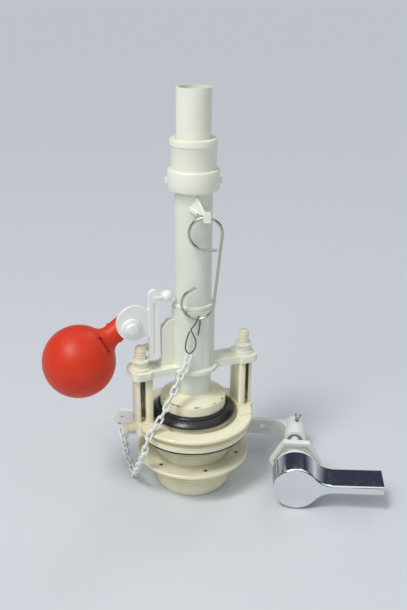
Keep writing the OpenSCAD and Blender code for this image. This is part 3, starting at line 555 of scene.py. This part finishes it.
def add_link(bm, place):
    """One oval link in its own XY plane, its length along Y."""
    half_width = (LINK_WIDTH - LINK_WIRE) / 2
    straight = LINK_PITCH + 2 * LINK_WIRE - LINK_WIDTH
    before = set(bm.verts)
    section = bmesh.ops.create_circle(
        bm, segments=8, radius=LINK_WIRE / 2,
        matrix=Matrix.Translation((half_width, straight / 2, 0)) @ Matrix.Rotation(math.pi / 2, 4, "X"))
    ring = section["verts"]
    for side in (1, -1):
        edges = list({e for v in ring for e in v.link_edges
                      if all(w in ring for w in e.verts)})
        turn = bmesh.ops.spin(bm, geom=ring + edges, cent=(0, side * straight / 2, 0),
                              axis=(0, 0, 1), angle=math.pi, steps=8)
        edges = [e for e in turn["geom_last"] if isinstance(e, bmesh.types.BMEdge)]
        pulled = bmesh.ops.extrude_edge_only(bm, edges=edges)
        ring = [v for v in pulled["geom"] if isinstance(v, bmesh.types.BMVert)]
        bmesh.ops.translate(bm, vec=(0, -side * straight, 0), verts=ring)
    mine = [v for v in bm.verts if v not in before]
    bmesh.ops.remove_doubles(bm, verts=mine, dist=1e-6)
    mine = [v for v in bm.verts if v not in before]
    bmesh.ops.transform(bm, matrix=place, verts=mine)


def make_chain():
    route = smooth_route([Vector(p) * MM for p in CHAIN], 6)
    whole = length_of(route)
    count = int(whole / LINK_PITCH)
    spacing = whole / count
    bm = bmesh.new()
    for i in range(count):
        point, forward = along(route, (i + 0.5) * spacing)
        sight = (EYE - point).normalized()
        low = point.z < LOW_ON_THE_BENCH
        face = UP if low else sight
        side = forward.cross(face).normalized()
        roll = math.radians(90 * (i % 2) + (BENCH_ROLL if low else HANGING_ROLL))
        side = Matrix.Rotation(roll, 3, forward) @ side
        turn = Matrix((side, forward, side.cross(forward))).transposed().to_4x4()
        add_link(bm, Matrix.Translation(point) @ turn)
    bmesh.ops.recalc_face_normals(bm, faces=bm.faces)
    chain = put("chain_links", bm, "base", CHAIN_WHITE, sharp_angle=0)
    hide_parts("lift_chain")


make_camera()
make_chain()


# Outlet, bridge and pipe, in millimetres

# The outlet's thread, below the lock nut and above it
OUTLET_THREADS = {"tail_thread": (3.2, 20.9), "shank_thread": (32.4, 51.8)}
OUTLET_CREST = 32.3
OUTLET_TOOTH = 0.75
OUTLET_PITCH = 2.5
# The studs, and their thread from just above the nuts to just below the studs' tops
STUD_X = 45.9
STUD_CREST = 4.6
STUD_TOOTH = 0.6
STUD_PITCH = 2.4
ABOVE_THE_NUTS = 0.2
BELOW_THE_TOPS = 1.0
# The collar's clearance round the refill tube and over the socket, and how far its rim stands out
SLIDE_GAP = 0.3
SEAT_GAP = 0.02
COLLAR_STEP = 0.7
# The bead on the seal: radius, and height from the seal's top
SEAL_BEAD = [(28.9, -1.2), (29.1, -0.1), (29.7, 0.2), (30.4, -0.1), (30.9, -0.9), (31.2, -2.4)]


def make_outlet():
    for node in ("outlet_shank", "lower_flange", "seat_ring"):
        moulded(node, CREAM, edge=0)
    for node in ("left_post", "right_post"):
        moulded(node, POST, edge=0)
    moulded("side_peg", CREAM, edge=0.35)
    moulded("tank_washer", RUBBER, edge=0.2)
    moulded("lock_nut", NUT, edge=0.3)
    moulded("bridge", IVORY, edge=0.5)
    moulded("guide_sleeve", PIPE, edge=0, sharp_angle=25)
    for name, (low, high) in OUTLET_THREADS.items():
        form = screw_thread(OUTLET_CREST, OUTLET_TOOTH, OUTLET_PITCH, low, high, steps=96)
        put(name, form, "base", CREAM, sharp_angle=0)
    low = top_of("stud_nuts") + ABOVE_THE_NUTS
    high = top_of("left_post") - BELOW_THE_TOPS
    for name, side in (("left", -1), ("right", 1)):
        place = Matrix.Translation((side * STUD_X * MM, 0, 0))
        form = screw_thread(STUD_CREST, STUD_TOOTH, STUD_PITCH, low, high, place, steps=32)
        put("stud_thread_" + name, form, "base", CREAM, sharp_angle=0)
    moulded("stud_nuts", IVORY, edge=0.3)
    dressed("latch_pin", IVORY)


def make_lift_pipe():
    dressed("overflow_pipe", PIPE)
    moulded("catch_ring", IVORY, edge=0)
    moulded("valve_disc", DISC, edge=0, sharp_angle=14)
    moulded("rubber_seal", RUBBER, edge=0)
    top = top_of("rubber_seal")
    put("seal_bead", turned([(radius, top + height) for radius, height in SEAL_BEAD]), "lift_pipe", RUBBER)
    dressed("seal_clamp", CREAM)
    moulded("pipe_socket", IVORY, edge=0.3)
    make_collar()
    dressed("grip_ring", RUBBER)
    moulded("hanger_lug", IVORY, edge=0.25)
    dressed("refill_tube", IVORY)


def make_collar():
    """The collar turned whole: a straight wall in the socket, and a rim with a sharp step below it."""
    top = top_of("collar")
    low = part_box("collar")[0].z / MM
    rim = radius_of("collar")
    seat = top_of("pipe_socket") + SEAT_GAP
    bore = radius_of("refill_tube") + SLIDE_GAP
    wall = rim - COLLAR_STEP
    form = turned([
        (bore, low), (wall - 0.6, low), (wall - 0.6, seat), (wall, seat), (wall, top - 5.6),
        (wall + 0.1, top - 5.4), (rim - 0.15, top - 5.3), (rim, top - 5.1), (rim, top - 1),
        (rim - 0.3, top - 0.4), (rim - 1, top), (bore + 0.8, top), (bore, top - 0.8),
    ])
    moulded("collar", IVORY, edge=0, sharp_angle=32, form=form)


# The latch's cap, in millimetres: its height, its stem, and the button at the stem's end
CAP_RISE = 5.0
STEM_RADIUS = 3.0
BUTTON_RADIUS = 5.0
BUTTON = 1.6


def make_clamp_cap():
    """The cap with a raised middle, its stem and the button at the stem's far end."""
    low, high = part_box("clamp_cap")
    axis_point, _ = joint_place("float_set")
    front, back = -low.y / MM, -high.y / MM
    radius = radius_of("clamp_cap")
    flange = front - CAP_RISE
    form = turned([
        (0, front), (3.4, front), (4.4, front - 0.3), (4.9, front - 1.0), (5.1, front - 2.1),
        (radius - 1.2, front - 2.5), (radius - 0.3, front - 3.0), (radius, front - 3.8), (radius, flange),
        (STEM_RADIUS, flange), (STEM_RADIUS, back + BUTTON), (BUTTON_RADIUS, back + BUTTON),
        (BUTTON_RADIUS, back), (0, back),
    ], place=Matrix.Translation((axis_point.x, 0, axis_point.z)) @ Matrix.Rotation(math.pi / 2, 4, "X"),
        closed=False)
    moulded("clamp_cap", MILKY, edge=0, form=form)


# The root of the latch's finger: its middle from front to back, how far it lies below the top and
# inside the edge of the latch arm, and its sizes
FINGER_Y = -2.0 * MM
FINGER_DROP = 6.8 * MM
ROOT_REACH = 10.8 * MM
ROOT_FLATNESS = 0.46
ROOT_RADII = (4.5 * MM, 3.3 * MM)
ROOT_LENGTH = 6.5 * MM
ROOT_ROUNDING = 0.5 * MM


def make_finger_root():
    """The thick root where the latch's finger leaves its bar, as flat as the bar."""
    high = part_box("latch_arm")[1]
    bm = bmesh.new()
    place = (Matrix.Translation((high.x - ROOT_REACH, FINGER_Y, high.z - FINGER_DROP))
             @ Matrix.Diagonal((1, ROOT_FLATNESS, 1, 1)) @ Matrix.Rotation(math.pi / 2, 4, "Y"))
    bmesh.ops.create_cone(bm, cap_ends=True, segments=48, radius1=ROOT_RADII[0], radius2=ROOT_RADII[1],
                          depth=ROOT_LENGTH, matrix=place)
    ends = [e for e in bm.edges if any(len(f.verts) > 4 for f in e.link_faces)]
    bmesh.ops.bevel(bm, geom=ends, offset=ROOT_ROUNDING, segments=2, profile=0.5, affect="EDGES",
                    material=-1)
    put("finger_root", bm, "latch", MILKY)


# The crease on the float lies on the ball. From its upper ear to its lower one it turns round the
# neck's axis, and its distance from that axis grows, slowly at first
NECK_SLOPE = math.radians(34.2)
CREASE_START = math.radians(-41.7)
CREASE_END = math.radians(0.8)
CREASE_NEAR = 15.3 * MM
CREASE_FAR = 16.9 * MM
CREASE_GROWTH = 1.7
CREASE_STEPS = 20
CREASE_WIRE = 0.75 * MM
EAR_RADIUS = 1.25 * MM
EAR_OUT = 0.4 * MM


def make_float_crease():
    """The ridge with a small ear at each end, where the float's neck grows out of its ball. Its darker red
    is painted shade, so that it reads as a groove.
    """
    low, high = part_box("float_ball")
    centre = (Vector(low) + Vector(high)) / 2
    neck = Vector((math.cos(NECK_SLOPE), 0, math.sin(NECK_SLOPE)))
    front = Vector((0, -1, 0))
    across = neck.cross(front)
    ball = (high.z - low.z) / 2
    route = []
    for i in range(CREASE_STEPS + 1):
        share = i / CREASE_STEPS
        turn = CREASE_START + (CREASE_END - CREASE_START) * share
        out = CREASE_NEAR + (CREASE_FAR - CREASE_NEAR) * share ** CREASE_GROWTH
        up_neck = math.sqrt(ball ** 2 - out ** 2)
        route.append(centre + neck * up_neck + (front * math.cos(turn) + across * math.sin(turn)) * out)
    bm = bmesh.new()
    rod(bm, route, CREASE_WIRE, sides=8)
    for point in (route[0], route[-1]):
        out = (point - centre).normalized() * EAR_OUT
        bmesh.ops.create_uvsphere(bm, u_segments=16, v_segments=10, radius=EAR_RADIUS,
                                  matrix=Matrix.Translation(point + out))
    put("float_crease", bm, "float", CREASE_SHADE_RED, sharp_angle=0)


def make_latch():
    moulded("latch_arm", MILKY, edge=0.4)
    make_clamp_cap()
    make_finger_root()
    dressed("float_ball", RED)
    moulded("float_neck", RED, edge=0)
    make_float_crease()
    dressed("wire_hook", STEEL)
    dressed("wire_clip", DARK_WIRE)


# The handle, in millimetres and degrees
BOSS_FRONT = 19.2
BOSS_BACK = 20.0
GRIP_HEIGHT = 7.6
GRIP_REACH = 72.0
GRIP_TILT = 2.4
FILLET = 21.0
HANDLE_DEPTH = 25.5
HANDLE_ROUNDING = 1.7
BACK_EDGE = 0.6
BOSS_STEPS = 72
FILLET_STEPS = 14
ROUNDING_STEPS = 5


def handle_outline(boss, inset):
    """The handle seen from the front, in its grip's own frame: a round boss that runs into the
    grip along a fillet at each side. Every length is in millimetres."""
    half = GRIP_HEIGHT / 2
    centre = Vector((math.sqrt((boss + FILLET) ** 2 - (half + FILLET) ** 2), half + FILLET))
    meet = math.atan2(centre.y, centre.x)
    upper = [(GRIP_REACH - inset, half - inset)]
    for i in range(FILLET_STEPS + 1):
        a = math.pi * 3 / 2 - (math.pi / 2 - meet) * i / FILLET_STEPS
        upper.append((centre.x + (FILLET + inset) * math.cos(a), centre.y + (FILLET + inset) * math.sin(a)))
    around = []
    for i in range(1, BOSS_STEPS):
        a = meet + (2 * math.pi - 2 * meet) * i / BOSS_STEPS
        around.append(((boss - inset) * math.cos(a), (boss - inset) * math.sin(a)))
    return upper + around + [(x, -y) for x, y in reversed(upper)]


def handle_form():
    """The handle: outlines from its rounded front back to the wall, joined one to the next."""
    front, inward = joint_place("lever_turn")
    along_grip = inward.cross(UP)
    tilt = Matrix.Rotation(math.radians(-GRIP_TILT), 3, inward)
    side, up = tilt @ along_grip, tilt @ UP
    # Each station's depth behind the front, its boss's radius, and how far its outline is drawn in
    stations = []
    for i in range(ROUNDING_STEPS + 1):
        a = math.pi / 2 * i / ROUNDING_STEPS
        depth = HANDLE_ROUNDING * (1 - math.cos(a))
        inset = HANDLE_ROUNDING * (1 - math.sin(a))
        stations.append((depth, BOSS_FRONT, inset))
    stations.append((HANDLE_DEPTH - BACK_EDGE, BOSS_BACK, 0))
    stations.append((HANDLE_DEPTH, BOSS_BACK, BACK_EDGE))
    bm = bmesh.new()
    loops = []
    for depth, boss, inset in stations:
        ring = [bm.verts.new(front + (inward * depth + side * x + up * y) * MM)
                for x, y in handle_outline(boss, inset)]
        loops.append([bm.edges.new(pair) for pair in zip(ring, ring[1:] + ring[:1])])
    for near, far in zip(loops, loops[1:]):
        bmesh.ops.bridge_loops(bm, edges=near + far)
    for edges in (loops[0], loops[-1]):
        bmesh.ops.contextual_create(bm, geom=edges)
    bmesh.ops.recalc_face_normals(bm, faces=bm.faces)
    return bm


# The wall bushing's thread, in millimetres behind the handle's front: before the nut and behind it
WALL_THREADS = {"wall_thread_near": (31.5, 38.9), "wall_thread_far": (45.1, 47.9)}
WALL_CREST = 13.3
WALL_TOOTH = 0.6
WALL_PITCH = 1.4


def make_wall_thread():
    front, inward = joint_place("lever_turn")
    place = Matrix.Translation(front) @ UP.rotation_difference(inward).to_matrix().to_4x4()
    for name, (low, high) in WALL_THREADS.items():
        form = screw_thread(WALL_CREST, WALL_TOOTH, WALL_PITCH, low, high, place)
        put(name, form, body_of("wall_bushing"), WHITE, sharp_angle=0)


def make_lever():
    handle = moulded("lever_handle", CHROME, edge=0, sharp_angle=50, form=handle_form())
    even = handle.modifiers.new("even_shading", "WEIGHTED_NORMAL")
    even.keep_sharp = True
    dressed("spindle", WHITE)
    moulded("lever_arm", WHITE, edge=0.4)
    dressed("split_pin", STEEL)
    moulded("wall_bushing", WHITE, edge=0)
    make_wall_thread()
    dressed("wall_washer", RUBBER)
    moulded("wall_nut", WHITE, edge=0.4)


make_outlet()
make_lift_pipe()
make_latch()
make_lever()


# Floor, backdrop and light

FLOOR = paint(214, 218, 222)
BACKDROP = paint(190, 195, 201)
# How far the floor reaches from its middle, in metres: past the horizon of any low view
FLOOR_REACH = 120.0
# The sky's own light at the horizon and overhead, and the same two in reflections, with the softbox
HORIZON = (0.15, 0.17, 0.20, 1)
ZENITH = (0.50, 0.51, 0.53, 1)
MIRRORED_HORIZON = (0.40, 0.42, 0.45, 1)
CEILING = (0.035, 0.045, 0.07, 1)
SOFTBOX = (1.0, 0.99, 0.96, 1)


def make_stage():
    look, bsdf = shader("studio_floor", Roughness=0.85, Specular_IOR_Level=0.0)
    bsdf.inputs["Base Color"].default_value = FLOOR
    bm = bmesh.new()
    bmesh.ops.create_grid(bm, x_segments=1, y_segments=1, size=FLOOR_REACH)
    mesh = mesh_of("studio_floor", bm)
    mesh.materials.append(look)
    add_object("studio_floor", mesh)


def aimed(direction):
    """The turn that points a lamp in a direction."""
    return Vector(direction).to_track_quat("-Z", "Y").to_matrix().to_4x4()


def lamp(name, place, target, size, power):
    """A round lamp at a place, turned to a target. Its size is in metres and its power in watts."""
    data = bpy.data.lights.new(name, "AREA")
    data.shape = "DISK"
    data.size = size
    data.energy = power
    direction = Vector(target) - Vector(place)
    add_object(name, data).matrix_world = Matrix.Translation(place) @ aimed(direction)


def sun(name, place, spread, power):
    """A broad lamp far away, so that it lights the whole floor evenly. Its spread is in degrees."""
    data = bpy.data.lights.new(name, "SUN")
    data.angle = math.radians(spread)
    data.energy = power
    add_object(name, data).matrix_world = aimed(-Vector(place))


def make_sky():
    """Dark grey at the horizon and paler overhead. The camera itself sees a plain backdrop.
    Reflections see a dark ceiling with a bright softbox in it."""
    world = bpy.data.worlds.new("studio")
    bpy.context.scene.world = world
    world.use_nodes = True
    tree = world.node_tree
    background = tree.nodes["Background"]
    background.inputs["Strength"].default_value = 1.0
    place = tree.nodes.new("ShaderNodeTexCoord")
    parts = tree.nodes.new("ShaderNodeSeparateXYZ")
    tree.links.new(place.outputs["Generated"], parts.inputs[0])
    height = ramp(tree, parts.outputs["Z"], 0.0, 0.9)
    sky = blended(tree, height, HORIZON, ZENITH)
    ceiling = ramp(tree, parts.outputs["Z"], 0.06, 0.40)
    mirrored = blended(tree, ceiling, MIRRORED_HORIZON, CEILING)
    softbox = ramp(tree, parts.outputs["Z"], 0.62, 0.72)
    mirrored = blended(tree, softbox, mirrored, SOFTBOX)
    path = tree.nodes.new("ShaderNodeLightPath")
    lit = blended(tree, path.outputs["Is Glossy Ray"], sky, mirrored)
    seen = blended(tree, path.outputs["Is Camera Ray"], lit, BACKDROP)
    tree.links.new(seen, background.inputs["Color"])


def make_light():
    sun("key", (-0.85, -0.38, 1.7), spread=14, power=1.15)
    sun("rim", (1.0, 0.8, 1.2), spread=14, power=0.2)
    lamp("window", (-0.6, -0.38, 0.85), target=(0, 0, 0.18), size=0.45, power=2.6)
    lamp("front", (-0.55, -1.25, 0.55), target=(0, 0, 0.12), size=0.6, power=0.6)
    make_sky()


make_stage()
make_light()
bpy.context.scene.view_settings.view_transform = "Standard"
